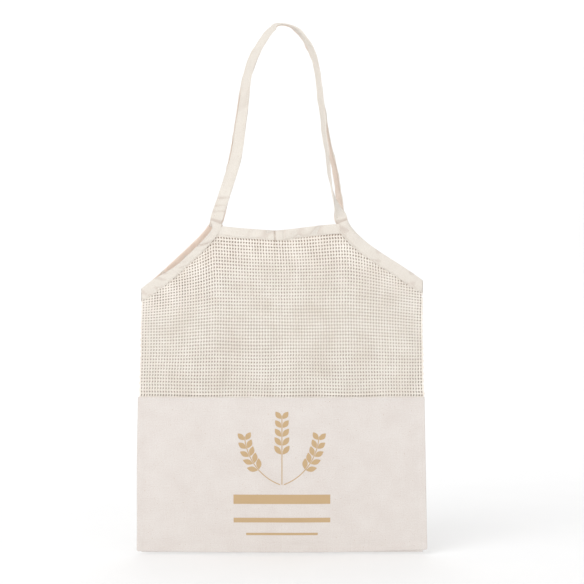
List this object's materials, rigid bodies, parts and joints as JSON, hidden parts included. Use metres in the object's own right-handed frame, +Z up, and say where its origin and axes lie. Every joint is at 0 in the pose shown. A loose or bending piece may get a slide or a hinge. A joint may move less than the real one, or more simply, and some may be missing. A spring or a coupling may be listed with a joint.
{
  "type": "mesh produce bag",
  "caption": "Flat cotton tote with an open square net top, a calico bottom and tape handle loops, hung empty by its handles.",
  "frame": {"origin": "the hook seat: midway between the undersides of the handle loops' crowns, where a hook, peg or hand carries the bag", "axes": "+Z up along the hanging bag, +X to the right across its width, -Y towards the printed front"},
  "size_m": [0.374, 0.0354, 0.6801],
  "materials": {
    "net": "square open weave, matte cotton",
    "calico": "plain weave, matte cotton with small seed flecks",
    "tape": "folded cotton tape, matte",
    "thread": "spun cotton thread, matte",
    "ink": "water-based textile ink, matte"
  },
  "bodies": {
    "bag": {"front_mesh_panel": "net", "back_mesh_panel": "net", "front_canvas_panel": "calico", "back_canvas_panel": "calico", "front_top_binding": "tape", "back_top_binding": "tape", "left_armhole_binding": "tape", "right_armhole_binding": "tape", "front_waist_seam": "calico", "back_waist_seam": "calico", "left_side_seam": "calico", "right_side_seam": "calico", "bottom_seam": "calico", "front_top_stitching": "thread", "back_top_stitching": "thread", "left_armhole_stitching": "thread", "right_armhole_stitching": "thread", "front_waist_overlock": "thread", "back_waist_overlock": "thread", "left_side_overlock": "thread", "right_side_overlock": "thread", "bottom_overlock": "thread", "front_print": "ink"},
    "front_handle_loop": {"front_handle": "tape", "front_handle_stitching": "thread"},
    "back_handle_loop": {"back_handle": "tape", "back_handle_stitching": "thread"}
  },
  "joints": [
    {"name": "front_handle_fold", "type": "hinge", "parent": "bag", "child": "front_handle_loop", "pos_m": [0, -0.0152, -0.25], "axis": [1, 0, 0], "range_deg": [0, 165]},
    {"name": "back_handle_fold", "type": "hinge", "parent": "bag", "child": "back_handle_loop", "pos_m": [0, 0.0152, -0.25], "axis": [-1, 0, 0], "range_deg": [0, 165]}
  ]
}
